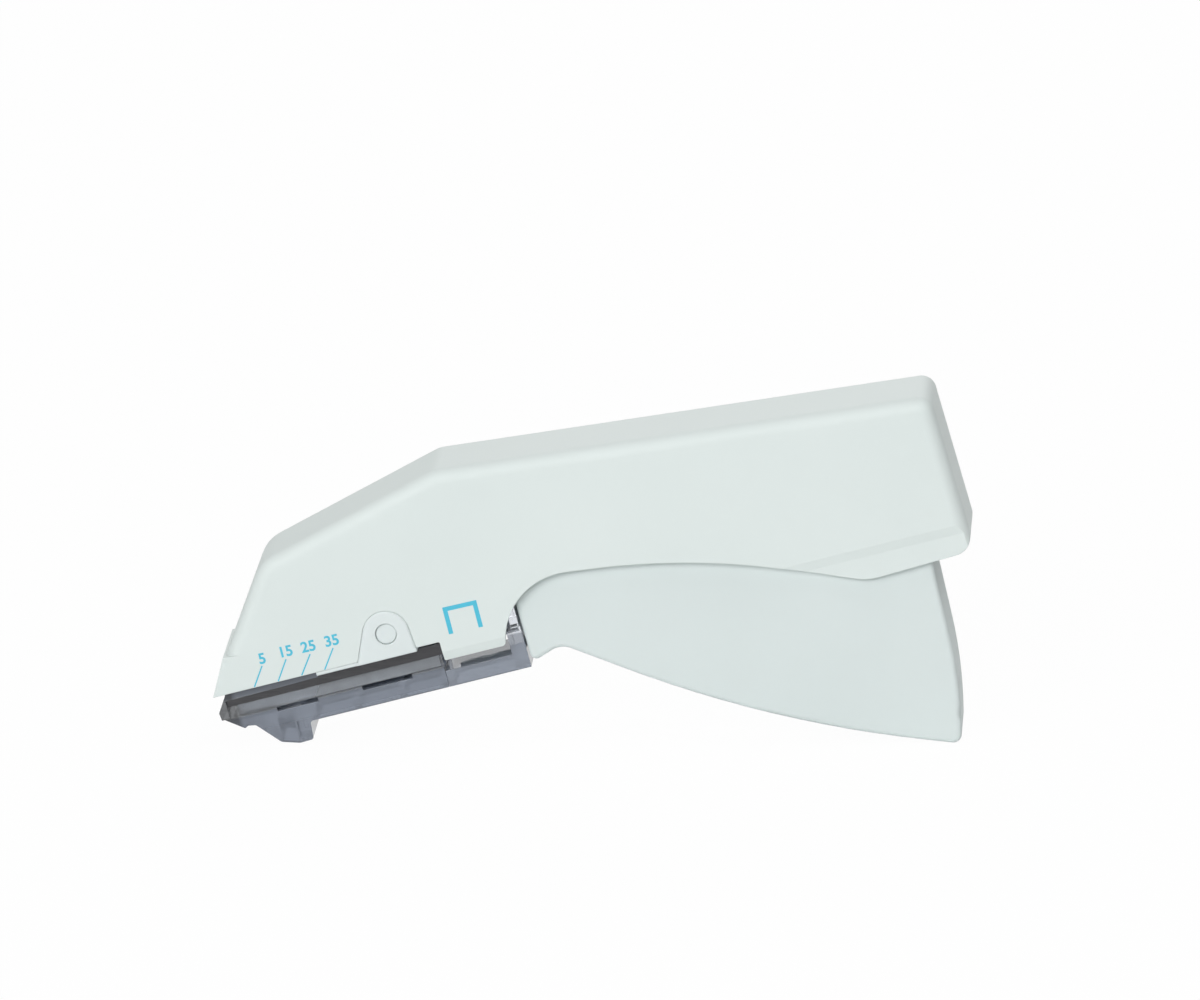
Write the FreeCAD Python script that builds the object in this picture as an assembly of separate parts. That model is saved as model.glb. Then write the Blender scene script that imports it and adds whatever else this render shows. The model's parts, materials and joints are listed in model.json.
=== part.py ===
"""Disposable skin stapler, as separate pieces in millimetres.

The stapler stands on the hooked foot of its cartridge and on the heel of its trigger.
X runs from the nose to the grip's rear end, Y across the body, Z up.
While the pieces are drawn, the pivot's axis is the origin. place_on_floor then moves
them all together, so that the origin is the middle of the footprint, on the floor.
"""
import FreeCAD, Part
import os
from math import acos, atan2, cos, pi, radians, sin, tan

from FreeCAD import Vector

# Housing: points of its side view, measured from the pivot
body_width = 26.0
wall = 2.0
edge_round = 3.2
front_foot = (-37.8, -5.6)
front_top = (-29.2, 17.0)
roof_kink = (11.8, 39.0)
rear_top = (127.5, 56.1)
rear_low = (137.5, 19.4)
under_dip = (112.5, 12.2)
under_crown = (72.0, 18.5)
notch_top = (28.0, 12.9)
notch_round = 16.5
under_crown_round = 170.0
under_dip_round = 14.0
front_top_round = 9.0
roof_kink_round = 6.0
rear_top_round = 3.5
rear_low_round = 4.5
lip_stand = 0.6
lip_height = 0.1
roof_ribs = (-8.0, 4.0, 16.0)
roof_rib_depth = 5.0
rib_thickness = 1.5
rib_bite = 0.2
nose_rib_place = 4.0
nose_rib_root = -4.6

# Staple track: rises towards the grip; t runs along it, n square to it
track_rise = 14.0
nose_edge = -4.95
nose_front = -43.4
side_drop = -9.7
side_drop_front = 11.6
side_drop_rear = 26.3
side_drop_round = 0.4
side_drop_rear_round = 1.0
side_bevel_height = 2.2
side_bevel_depth = 0.6

# Trigger: points of its side view, measured from the pivot
trigger_side_gap = 0.6
trigger_wall = 1.8
trigger_edge_round = 1.0
trigger_chin = (33.9, -7.9)
trigger_bump = (40.6, -3.6)
trigger_bend = (89.5, -22.9)
trigger_heel = (133.9, -28.0)
trigger_rear_bend = (133.9, -13.5)
trigger_rear_top = (127.3, 17.5)
trigger_top_mid = (72.0, 19.5)
trigger_front_top = (27.8, 15.5)
trigger_chin_round = 1.5
trigger_bump_round = 5.0
trigger_bend_round = 275.0
trigger_heel_round = 2.0
trigger_rear_round = 110.0
trigger_top_round = 20.0
trigger_ribs = (84.0, 108.0)
trigger_rib_top = 5.0
arm_gap = 14.0
arm_wall = 2.4
arm_root = (36.0, 13.8)
arm_root_radius = 3.0
hub_radius = 4.6
drive_boss_radius = 2.6
drive_pin_press = 0.02
drive_pin_sunk = 0.2

# Pivot and ears
pivot_radius = 2.4
running_gap = 0.05
ear_radius = 5.5
ear_depth = 1.4
ear_proud = 0.3
ear_base_front = -8.6
ear_base_rear = 6.0
ear_clearance = 0.06
pivot_pad_radius = 6.4
pivot_pad_depth = 1.2
ear_edge_bevel = 0.35
ear_hole_gap = 0.1
pin_sunk = 0.5
web_bottom = -5.8
web_rim_front = -18.4
web_rim_inner = 9.4

# Cartridge: points of the nose are t, n and the corner's rounding
cartridge_width = 15.6
clear_wall = 1.15
base_rear = 10.3
base_top = -6.4
base_floor = -13.2
base_bottom = -17.3
nose_tip = (-43.7, -9.9, 0.6)
nose_low = (-43.5, -11.8, 0.3)
beak = (-38.9, -15.25, 0.4)
throat = (-38.1, -14.8, 0.3)
foot_brow = (-36.3, -15.1, 0.8)
foot_front = -31.5
foot_middle = -27.3
foot_rear = -24.0
foot_heel = -23.6
foot_bottom = -21.817
foot_front_rise = 1.3
foot_rear_rise = 0.1
foot_front_round = 1.5
foot_middle_round = 2.0
foot_rear_round = 0.6
foot_heel_round = 0.8
cheek_rear = -18.8
cheek_top = -5.6
cheek_low_front = -7.5
cheek_low_rear = -7.05
cheek_thickness = 0.8
cheek_root = -41.5
nose_side_low = -11.8
tail_gap = 0.1
tail_rear = 30.2
tail_top = -13.35
tail_front_wall = 1.6
tail_rear_wall = 3.4
upstand_top = -0.6
upstand_thickness = 2.0
seat_block_front = 26.6
seat_block_top = -6.6
upstand_side = 9.5
seat_stem = 2.3
seat_stem_radius = 1.0
seat_hole_spare = 0.2
cover_thickness = 0.5
cover_front = -41.4
cover_rear = 11.0
cover_skirt = -9.15
cover_slot_rear = -36.2
cover_slot_gap = 0.2
cover_bend = 0.9
anvil_thickness = 0.8
anvil_width = 11.0
anvil_rear = 9.2
tongue_width = 5.7
tongue_front = -40.75
tongue_root = -38.4
anvil_rib_front = -25.5
anvil_rib_half = 2.0
leaf_width = 4.8
leaf_thickness = 0.3
leaf_rear = -26.5
leaf_bend = -33.5
leaf_drop = 0.8
leaf_tip_back = 0.3
base_windows = ((-30.4, -20.4), (-9.6, 2.5))
window_low = -13.1
window_high = -12.0
base_pockets = ((-21.5, -12.5), (-11.0, -1.5), (0.0, 8.8))
foot_pocket = (-31.2, -27.4)
foot_pocket_half = 5.4
foot_pocket_roof = -15.2
foot_groove = (-26.7, -25.7)
foot_groove_low = -20.93
foot_groove_high = -16.7
foot_groove_depth = 0.5
seat_gap = 0.05

# Staples
staple_count = 35
wire = 0.45
staple_pitch = 0.575
staple_width = 12.5
staple_leg = 3.7
crown_level = -9.3
chamber = -39.9
stack_gap = 1.0
anvil_gap = 0.08

# Former and its drive
former_lean = 20.0
former_width = 12.8
former_thickness = 0.9
former_rest = 3.3
former_top = 36.0
prong_gap = 6.1
prong_length = 5.4
squeeze_angle = 16.0
drive_offset = 2.5
drive_pin_radius = 1.0
drive_slot_play = 0.35
former_ear_radius = 2.2
former_ear_round = 2.0
slide_gap = 0.15
nose_plate_thickness = 0.8
guide_thickness = 1.6
guide_bottom = 6.2
nose_plate_top = 16.0
nose_plate_low = -2.2
nose_plate_side_gap = 0.1
guide_top = 20.0

# Feed
sled_wall = 0.5
sled_skirt = -12.1
sled_rear = 9.5
sled_top_gap = 0.15
sled_head = 1.25
sled_head_gap = 0.3
skirt_gap = 0.35
spring_level = -8.35
feed_coil_width = 2.3
feed_wire = 0.3
feed_turns = 15
rod_radius = 0.5
rod_front = -12.0
rod_end_gap = 1.0
seat_flange = 1.2
seat_radius = 1.9

# Return spring
spring_x = 57.0
spring_width = 10.0
spring_wire = 1.1
spring_turns = 7
spring_floor = 3.5
spring_shelf_margin = 2.0
spring_shelf_bite = 1.3
spring_pad_depth = 2.7
spring_pad_rim = 0.8
spring_post_radius = 3.2
spring_post_height = 3.0
wire_sides = 4
runs_per_turn = 16

side = body_width / 2
inner_side = side - wall
trigger_side = inner_side - trigger_side_gap
far = 150.0
below = 40.0
rise = radians(track_rise)
lean = radians(former_lean)
cartridge_side = cartridge_width / 2
channel_side = cartridge_side - clear_wall
crown_bottom = crown_level - wire / 2 * (cos(rise + lean) + sin(rise + lean))
anvil_top = crown_bottom - anvil_gap
anvil_bottom = anvil_top - anvil_thickness
cover_side = cartridge_side + seat_gap + cover_thickness


def track(t, n, rounding=0.0):
    """Corner at t along the staple track and n above it."""
    x = t * cos(rise) - n * sin(rise)
    z = t * sin(rise) + n * cos(rise)
    return (x, z, rounding)


def former_at(up, behind, rounding=0.0):
    """Corner in the former's plane: up along its travel, and behind it towards the pivot."""
    x, z, _ = track(chamber, crown_level)
    x += up * sin(lean) + behind * cos(lean)
    z += up * cos(lean) - behind * sin(lean)
    return (x, z, rounding)


def corner(point, rounding=0.0):
    return (point[0], point[1], rounding)


def spot(point, y=0.0):
    """Point in space of a corner in the side view."""
    return Vector(point[0], y, point[1])


def on_line(low, high, z):
    """Point at height z on the line through low and high."""
    share = (z - low[1]) / (high[1] - low[1])
    return (low[0] + share * (high[0] - low[0]), z)


def outline_face(corners):
    """Flat face in the side view through the corners, each rounded with its own arc."""
    stops = []
    for index, (x, z, rounding) in enumerate(corners):
        here = Vector(x, 0, z)
        if rounding <= 0:
            stops.append((here, None, here))
            continue
        before = corners[index - 1]
        after = corners[(index + 1) % len(corners)]
        back = (Vector(before[0], 0, before[1]) - here).normalize()
        ahead = (Vector(after[0], 0, after[1]) - here).normalize()
        half = back.getAngle(ahead) / 2
        reach = rounding / tan(half)
        middle = (back + ahead).normalize()
        via = here + middle * (rounding / sin(half) - rounding)
        stops.append((here + back * reach, via, here + ahead * reach))
    edges = []
    for index, (start, via, end) in enumerate(stops):
        if via is not None:
            edges.append(Part.Arc(start, via, end).toShape())
        following = stops[(index + 1) % len(stops)][0]
        if (following - end).Length > 1e-6:
            edges.append(Part.makeLine(end, following))
    return Part.Face(Part.Wire(edges))


def inset(chain, depth):
    """The chain of corners moved to its right by depth, with its arcs made concentric."""
    lines = []
    for start, end in zip(chain, chain[1:]):
        step = Vector(end[0] - start[0], 0, end[1] - start[1]).normalize()
        aside = Vector(step.z, 0, -step.x) * depth
        lines.append((Vector(start[0], 0, start[1]) + aside, step))
    moved = [(lines[0][0].x, lines[0][0].z, 0.0)]
    for (base, step), (next_base, next_step), (_, _, rounding) in zip(lines, lines[1:], chain[1:]):
        turn = step.z * next_step.x - step.x * next_step.z
        gap = next_base - base
        along = (gap.z * next_step.x - gap.x * next_step.z) / turn
        point = base + step * along
        kept = rounding - depth if turn > 0 else rounding + depth
        moved.append((point.x, point.z, max(kept, 0.0) if rounding else 0.0))
    last = Vector(chain[-1][0], 0, chain[-1][1])
    step = lines[-1][1]
    last += Vector(step.z, 0, -step.x) * depth
    moved.append((last.x, last.z, 0.0))
    return moved


def across(face, low_y, high_y):
    """Solid of a side-view face between two places across the body."""
    start = face.copy()
    start.translate(Vector(0, low_y, 0))
    return start.extrude(Vector(0, high_y - low_y, 0))


def slab(corners, low_y, high_y):
    return across(outline_face(corners), low_y, high_y)


def middle_slab(corners, half_width):
    return slab(corners, -half_width, half_width)


def side_slabs(corners, low_y, high_y):
    """The same slab on both sides of the body."""
    return [slab(corners, low_y, high_y), slab(corners, -high_y, -low_y)]


def track_block(t0, t1, n0, n1, low_y, high_y):
    return slab([track(t0, n0), track(t1, n0), track(t1, n1), track(t0, n1)], low_y, high_y)


def track_blocks(t0, t1, n0, n1, low_y, high_y):
    return [track_block(t0, t1, n0, n1, low_y, high_y), track_block(t0, t1, n0, n1, -high_y, -low_y)]


def track_bars_of(section, t0, t1):
    """Straight bars along the track on both sides, with the section's corners at (y, n)."""
    spots = [spot(track(t0, n), y) for y, n in section]
    run = spot(track(t1, 0)) - spot(track(t0, 0))
    bar = flat(spots).extrude(run)
    return [bar, bar.mirror(Vector(), Vector(0, 1, 0))]


def crossbar(point, radius, low_y, high_y):
    """Round bar across the body through a point of the side view."""
    start = Vector(point[0], low_y, point[1])
    return Part.makeCylinder(radius, high_y - low_y, start, Vector(0, 1, 0))


def tapered_bar(end_a, radius_a, end_b, radius_b):
    """Face round two circles and the straight lines that touch both."""
    run = (end_b[0] - end_a[0], end_b[1] - end_a[1])
    length = (run[0] ** 2 + run[1] ** 2) ** 0.5
    heading = atan2(run[1], run[0])
    spread = acos((radius_a - radius_b) / length)

    def rim(centre, radius, angle):
        return Vector(centre[0] + radius * cos(angle), 0, centre[1] + radius * sin(angle))

    top_a = rim(end_a, radius_a, heading + spread)
    top_b = rim(end_b, radius_b, heading + spread)
    low_a = rim(end_a, radius_a, heading - spread)
    low_b = rim(end_b, radius_b, heading - spread)
    edges = [
        Part.makeLine(top_a, top_b),
        Part.Arc(top_b, rim(end_b, radius_b, heading), low_b).toShape(),
        Part.makeLine(low_b, low_a),
        Part.Arc(low_a, rim(end_a, radius_a, heading + pi), top_a).toShape(),
    ]
    return Part.Face(Part.Wire(edges))


def edges_where(solid, wanted):
    """The solid's edges whose middle passes the test."""
    chosen = []
    for edge in solid.Edges:
        middle = edge.valueAt((edge.FirstParameter + edge.LastParameter) / 2)
        if wanted(middle):
            chosen.append(edge)
    return chosen


def rounded_edges(solid, radius, wanted):
    return solid.makeFillet(radius, edges_where(solid, wanted))


def foot_of_pivot():
    """Height on the former's plane, above the chamber, that is nearest to the pivot."""
    x, z, _ = track(chamber, crown_level)
    return -x * sin(lean) - z * cos(lean)


def pivot_to_plane():
    x, z, _ = track(chamber, crown_level)
    return -x * cos(lean) + z * sin(lean)


def drive_travel():
    """Former's travel when the drive pin swings evenly about its nearest point to the pivot."""
    reach = (pivot_to_plane() - drive_offset) / cos(radians(squeeze_angle / 2))
    return 2 * reach * sin(radians(squeeze_angle / 2))


def drive_pin_place():
    x, z, _ = former_at(foot_of_pivot() + drive_travel() / 2, drive_offset)
    return (x, z)


def flat(spots):
    return Part.Face(Part.makePolygon(spots + spots[:1]))


def sheet(points, place, thickness_step):
    """Plate cut from flat stock: its outline set in space by place, then given thickness."""
    return flat([place(*point) for point in points]).extrude(thickness_step)


def joined(solids):
    whole = solids[0]
    for solid in solids[1:]:
        whole = whole.fuse(solid)
    return whole.removeSplitter()


def coil(start, end, width, thickness, turns):
    """Compression spring between two points: flat-sided wire in short straight runs, to keep it light."""
    height = (end - start).Length - thickness
    radius = (width - thickness) / 2
    turned = FreeCAD.Rotation(Vector(0, 0, 1), end - start)
    runs = turns * runs_per_turn
    corners = [2 * pi * (step + 0.5) / wire_sides for step in range(wire_sides)]
    rings = []
    for run in range(runs + 1):
        heading = 2 * pi * run / runs_per_turn
        middle = thickness / 2 + height * run / runs
        ring = []
        for corner_angle in corners:
            reach = radius + thickness / 2 * cos(corner_angle)
            level = middle + thickness / 2 * sin(corner_angle)
            ring.append(start + turned * Vector(reach * cos(heading), reach * sin(heading), level))
        rings.append(ring)
    faces = [flat(rings[0]), flat(rings[-1])]
    for ring, following in zip(rings, rings[1:]):
        for index in range(wire_sides):
            beside = (index + 1) % wire_sides
            faces.append(flat([ring[index], ring[beside], following[beside]]))
            faces.append(flat([ring[index], following[beside], following[index]]))
    return Part.makeSolid(Part.makeShell(faces))


def track_bar(t0, t1, n, radius):
    """Round bar along the track."""
    start = spot(track(t0, n))
    return Part.makeCylinder(radius, t1 - t0, start, spot(track(t1, n)) - start)


def touch_point(point, radius, turn):
    """Where the tangent from a point touches the circle about the pivot."""
    heading = atan2(point.z, point.x)
    angle = heading - turn * acos(radius / point.Length)
    return Vector(radius * cos(angle), 0, radius * sin(angle))


def ear(grown, low_y, high_y):
    """Ear between two places across the body: a round head and straight flanks to its base."""
    radius = ear_radius + grown
    front = spot(track(ear_base_front - grown, web_bottom))
    rear = spot(track(ear_base_rear + grown, web_bottom))
    front_touch = touch_point(front, radius, 1)
    rear_touch = touch_point(rear, radius, -1)
    edges = [
        Part.makeLine(front, front_touch),
        Part.Arc(front_touch, Vector(0, 0, radius), rear_touch).toShape(),
        Part.makeLine(rear_touch, rear),
        Part.makeLine(rear, front),
    ]
    return across(Part.Face(Part.Wire(edges)), low_y, high_y)


def housing():
    """White moulded body: an inverted channel, open below, with a short sloped nose."""
    lip_top = (front_foot[0] - lip_stand, front_foot[1] - lip_height)
    lip_tip = track(nose_front, nose_edge)
    upper = [
        corner(front_top, front_top_round),
        corner(roof_kink, roof_kink_round),
        corner(rear_top, rear_top_round),
        corner(on_line(rear_low, rear_top, -below)),
    ]
    block = middle_slab([corner(on_line(lip_tip, lip_top, -below)), corner(lip_top), corner(front_foot)]
                        + upper, side)
    block = rounded_edges(block, edge_round, lambda middle: abs(middle.y) > side - 0.01
                          and middle.z > front_foot[1])
    hollow_chain = inset([corner(on_line(front_foot, front_top, -below))] + upper, wall)
    shell = block.cut(middle_slab(hollow_chain, inner_side))
    ribs = []
    for x in roof_ribs:
        low = roof_height(x) - wall - roof_rib_depth
        ribs.append(middle_slab([(x, low, 0), (x + rib_thickness, low, 0),
                                 (x + rib_thickness, far, 0), (x, far, 0)], inner_side + rib_bite))
    pad_start = Vector(spring_x, 0, spring_roof())
    ribs.append(Part.makeCylinder(spring_width / 2 + spring_pad_rim, far, pad_start))
    ribs.append(Part.makeCylinder(spring_post_radius, far, pad_start - Vector(0, 0, spring_post_height)))
    plate_front = -(former_thickness / 2 + slide_gap + nose_plate_thickness + seat_gap)
    ribs += side_slabs([former_at(guide_bottom, plate_front), former_at(nose_plate_top, plate_front),
                        former_at(nose_plate_top, nose_rib_root), former_at(guide_bottom, nose_rib_root)],
                       nose_rib_place, nose_rib_place + rib_thickness)
    shell = joined([shell] + [rib.common(block) for rib in ribs])
    for low_y in (inner_side - pivot_pad_depth, -inner_side):
        shell = shell.fuse(crossbar((0, 0), pivot_pad_radius, low_y, low_y + pivot_pad_depth))
    keep = [
        track(-far, nose_edge),
        track(side_drop_front, nose_edge, side_drop_round),
        track(side_drop_front, side_drop, side_drop_round),
        track(side_drop_rear, side_drop, side_drop_rear_round),
        corner(notch_top, notch_round),
        corner(under_crown, under_crown_round),
        corner(under_dip, under_dip_round),
        corner(rear_low, rear_low_round),
        corner(on_line(rear_low, rear_top, far)),
        (-far, far, 0),
    ]
    shell = shell.common(middle_slab(keep, side + 1))
    bevel = [(side + 1, side_drop + side_bevel_height), (side, side_drop + side_bevel_height),
             (side - side_bevel_depth, side_drop), (side - side_bevel_depth, -below), (side + 1, -below)]
    for cutter in track_bars_of(bevel, side_drop_front - 1, far):
        shell = shell.cut(cutter)
    recess = ear(ear_clearance, side - ear_depth, side + 1)
    shell = shell.cut(recess).cut(recess.mirror(Vector(), Vector(0, 1, 0)))
    return shell.cut(crossbar((0, 0), pivot_radius + running_gap, -side, side)).removeSplitter()


def roof_height(x):
    if x < roof_kink[0]:
        low, high = front_top, roof_kink
    else:
        low, high = roof_kink, rear_top
    return low[1] + (x - low[0]) / (high[0] - low[0]) * (high[1] - low[1])


def spring_roof():
    """Height of the pad under the roof that the return spring pushes on."""
    return roof_height(spring_x) - wall - spring_pad_depth


def cartridge_frame():
    """White saddle on the track cover, with an ear in each side of the housing."""
    web_top = nose_edge - ear_clearance
    web = track_block(ear_base_front, ear_base_rear, web_bottom, web_top, -side - ear_proud, side + ear_proud)
    rims = track_blocks(web_rim_front, ear_base_front, web_bottom, web_top, web_rim_inner, side)
    right = ear(0, side - ear_depth + seat_gap, side + ear_proud)
    outer = edges_where(right, lambda middle: middle.y > side + ear_proud - 0.01
                        and middle.z > track(ear_base_front, nose_edge)[1] - 0.5)
    right = right.makeChamfer(ear_edge_bevel, outer)
    left = right.mirror(Vector(), Vector(0, 1, 0))
    frame = joined([web, right, left] + rims)
    return frame.cut(crossbar((0, 0), pivot_radius + ear_hole_gap, -side - 1, side + 1))


def pivot_pin():
    half = side + ear_proud - pin_sunk
    return crossbar((0, 0), pivot_radius, -half, half)


def trigger():
    """White moulded lever: an open-topped shell, two arms, a hub and the drive pin's bosses."""
    half = trigger_side
    bottom = [
        corner(trigger_rear_bend, trigger_rear_round),
        corner(trigger_heel, trigger_heel_round),
        corner(trigger_bend, trigger_bend_round),
        corner(trigger_bump, trigger_bump_round),
        corner(trigger_chin, trigger_chin_round),
    ]
    top = [
        corner(trigger_front_top),
        corner(trigger_top_mid, trigger_top_round),
        corner(trigger_rear_top),
    ]
    block = middle_slab(bottom + top, half)
    block = rounded_edges(block, trigger_edge_round, lambda middle: abs(middle.y) > half - 0.01
                          and middle.z < trigger_front_top[1] - 1)
    rear_end = corner(on_line(trigger_rear_bend, trigger_rear_top, below))
    front_end = corner(on_line(trigger_chin, trigger_front_top, below))
    hollow = middle_slab(inset([rear_end] + bottom + [front_end], trigger_wall), half - trigger_wall)
    pieces = [block.cut(hollow)]
    for x in trigger_ribs:
        rib = middle_slab([(x, -below, 0), (x + rib_thickness, -below, 0),
                           (x + rib_thickness, trigger_rib_top, 0), (x, trigger_rib_top, 0)], half)
        pieces.append(rib.common(block))
    shelf_front = spring_x - spring_width / 2 - spring_shelf_margin
    shelf_rear = spring_x + spring_width / 2 + spring_shelf_margin
    shelf = [(shelf_front, spring_floor - trigger_wall, 0), (shelf_rear, spring_floor - trigger_wall, 0),
             (shelf_rear, spring_floor, 0), (shelf_front, spring_floor, 0)]
    pieces.append(middle_slab(shelf, half - spring_shelf_bite))
    prop = middle_slab([(shelf_front, -below, 0), (shelf_rear, -below, 0),
                        (shelf_rear, spring_floor - rib_bite, 0), (shelf_front, spring_floor - rib_bite, 0)],
                       rib_thickness / 2)
    pieces.append(prop.common(block))
    pieces.append(Part.makeCylinder(spring_post_radius, spring_post_height + rib_bite,
                                    Vector(spring_x, 0, spring_floor - rib_bite)))
    pin = drive_pin_place()
    arm_out = arm_gap / 2 + arm_wall
    for face in (tapered_bar((0, 0), hub_radius, arm_root, arm_root_radius),
                 tapered_bar((0, 0), hub_radius, pin, drive_boss_radius)):
        pieces.append(across(face, arm_gap / 2, arm_out))
        pieces.append(across(face, -arm_out, -arm_gap / 2))
    pieces.append(crossbar((0, 0), hub_radius, -arm_out, arm_out))
    lever = joined(pieces)
    lever = lever.cut(crossbar((0, 0), pivot_radius + running_gap, -side, side))
    return lever.cut(crossbar(pin, drive_pin_radius + drive_pin_press, -side, side)).removeSplitter()


def drive_pin():
    half = arm_gap / 2 + arm_wall - drive_pin_sunk
    return crossbar(drive_pin_place(), drive_pin_radius, -half, half)


def former():
    """Steel plate with two prongs below and two ears bent back to the drive pin."""
    half = former_width / 2
    gap = prong_gap / 2
    rest = former_rest
    outline = [(-half, rest), (-gap, rest), (-gap, rest + prong_length), (gap, rest + prong_length),
               (gap, rest), (half, rest), (half, former_top), (-half, former_top)]

    def place(y, up):
        return spot(former_at(up, -former_thickness / 2), y)

    back = Vector(cos(lean), 0, -sin(lean))
    plate = sheet(outline, place, back * former_thickness)
    up = foot_of_pivot() + drive_travel() / 2
    ear_back = drive_offset + former_ear_radius
    ears = side_slabs([former_at(up - former_ear_radius, 0),
                       former_at(up - former_ear_radius, ear_back, former_ear_round),
                       former_at(up + former_ear_radius, ear_back, former_ear_round),
                       former_at(up + former_ear_radius, 0)], half - former_thickness, half)
    slot_radius = drive_pin_radius + running_gap
    slot = tapered_bar(former_at(up, drive_offset - drive_slot_play), slot_radius,
                       former_at(up, drive_offset + drive_slot_play), slot_radius)
    return joined([plate] + ears).cut(across(slot, -side, side))


def nose_plate():
    """Steel plate in front of the former, narrower where it enters the cartridge."""
    wide = inner_side - slide_gap
    narrow = channel_side - nose_plate_side_gap
    low = nose_plate_low
    outline = [(-narrow, low), (narrow, low), (narrow, guide_bottom), (wide, guide_bottom),
               (wide, nose_plate_top), (-wide, nose_plate_top), (-wide, guide_bottom),
               (-narrow, guide_bottom)]

    def place(y, up):
        return spot(former_at(up, -former_thickness / 2 - slide_gap - nose_plate_thickness), y)

    return sheet(outline, place, Vector(cos(lean), 0, -sin(lean)) * nose_plate_thickness)


def former_guide():
    """Moulded block fixed in the nose, with a pocket that the former slides in."""
    wide = inner_side - slide_gap
    pocket = former_thickness / 2 + slide_gap
    back = slab([former_at(guide_bottom, pocket), former_at(guide_top, pocket),
                 former_at(guide_top, pocket + guide_thickness),
                 former_at(guide_bottom, pocket + guide_thickness)], -wide, wide)
    rails = side_slabs([former_at(guide_bottom, -pocket), former_at(guide_top, -pocket),
                        former_at(guide_top, pocket), former_at(guide_bottom, pocket)],
                       former_width / 2 + slide_gap, wide)
    return joined([back] + rails)


def slanted(behind, n):
    """Corner at height n over the track, on the plane that far behind the former's plane."""
    tilt = rise + lean
    t = chamber + (behind + (n - crown_level) * sin(tilt)) / cos(tilt)
    return track(t, n)


def on_nose(n):
    """Place along the track, at height n, on the sloped front of the cartridge."""
    share = (n - base_top) / (nose_tip[1] - base_top)
    return cover_front + share * (nose_tip[0] - cover_front)


def magazine_base():
    """Clear moulding: nose with two cheeks, hooked foot, channel for the staples, cored underside."""
    outline = [
        track(on_nose(cheek_top), cheek_top),
        track(*nose_tip),
        track(*nose_low),
        track(*beak),
        track(*throat),
        track(*foot_brow),
        track(foot_front, foot_bottom + foot_front_rise, foot_front_round),
        track(foot_middle, foot_bottom, foot_middle_round),
        track(foot_rear, foot_bottom + foot_rear_rise, foot_rear_round),
        track(foot_heel, base_bottom, foot_heel_round),
        track(base_rear, base_bottom),
        track(base_rear, base_top),
        track(cheek_rear, base_top),
        track(cheek_rear, cheek_top),
    ]
    cheek_inner = cover_side + seat_gap
    base = middle_slab(outline, cheek_inner + cheek_thickness)
    under_cheeks = [track(cheek_root, -far), track(far, -far), track(far, far), track(cheek_rear, far),
                    track(cheek_rear, cheek_low_rear), track(cheek_root, cheek_low_front)]
    chamber_front = -(former_thickness / 2 + slide_gap + nose_plate_thickness + seat_gap)
    channel = [slanted(chamber_front, base_floor), track(far, base_floor), track(far, 0),
               slanted(chamber_front, 0)]
    cuts = side_slabs(under_cheeks, cheek_inner, side)
    cuts += track_blocks(cheek_root, far, -far, far, cartridge_side, cheek_inner)
    cuts += track_blocks(-far, far, -far, nose_side_low, cartridge_side, side)
    cuts += [track_block(-far, far, base_top, far, -cheek_inner, cheek_inner),
             middle_slab(channel, channel_side)]
    for t0, t1 in base_windows:
        cuts += track_blocks(t0, t1, window_low, window_high, channel_side - 1, side)
    for t0, t1 in base_pockets:
        cuts.append(track_block(t0, t1, -far, base_floor - clear_wall, -channel_side, channel_side))
    cuts.append(track_block(*foot_pocket, -far, foot_pocket_roof, -foot_pocket_half, foot_pocket_half))
    cuts += track_blocks(*foot_groove, foot_groove_low, foot_groove_high,
                         cartridge_side - foot_groove_depth, side)
    for cut in cuts:
        base = base.cut(cut)
    rib = track_block(anvil_rib_front, base_rear, base_floor - rib_bite, anvil_bottom - seat_gap,
                      -anvil_rib_half, anvil_rib_half)
    return joined([base, rib])


def magazine_tail():
    """Clear rear block with the wall that stands up behind the spring seat."""
    front = base_rear + tail_gap
    body = track_block(front, tail_rear, base_bottom, tail_top, -cartridge_side, cartridge_side)
    body = body.cut(track_block(front + tail_front_wall, tail_rear - tail_rear_wall, -far,
                                tail_top - clear_wall, -channel_side, channel_side))
    seat_block = track_block(seat_block_front, tail_rear, tail_top - rib_bite, seat_block_top,
                             -cartridge_side, cartridge_side)
    upstand = track_block(tail_rear - upstand_thickness, tail_rear, seat_block_top - rib_bite, upstand_top,
                          -upstand_side, upstand_side)
    tail = joined([body, seat_block, upstand])
    return tail.cut(track_bar(seat_block_front - 1, seat_block_front + seat_stem + seat_hole_spare,
                              spring_level, seat_stem_radius + running_gap))


def track_cover():
    """Steel channel folded down over the track, cut away at the front for the former."""
    top = base_top + seat_gap + cover_thickness
    inner = cartridge_side + seat_gap
    cover = track_block(cover_front, cover_rear, cover_skirt, top, -cover_side, cover_side)
    top_middle = spot(track((cover_front + cover_rear) / 2, top))
    cover = rounded_edges(cover, cover_bend, lambda middle: abs(middle.y) > inner
                          and (middle - top_middle).Length < cover_side + 0.1)
    cover = cover.cut(track_block(-far, far, -far, base_top + seat_gap, -inner, inner))
    gap = channel_side + cover_slot_gap
    return cover.cut(track_block(-far, cover_slot_rear, -far, 0, -gap, gap))


def anvil_plate():
    half = anvil_width / 2
    tongue = tongue_width / 2
    outline = [(anvil_rear, -half), (anvil_rear, half), (tongue_root, half), (tongue_root, tongue),
               (tongue_front, tongue), (tongue_front, -tongue), (tongue_root, -tongue),
               (tongue_root, -half)]

    def place(t, y):
        return spot(track(t, anvil_bottom), y)

    return sheet(outline, place, Vector(-sin(rise), 0, cos(rise)) * anvil_thickness)


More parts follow.
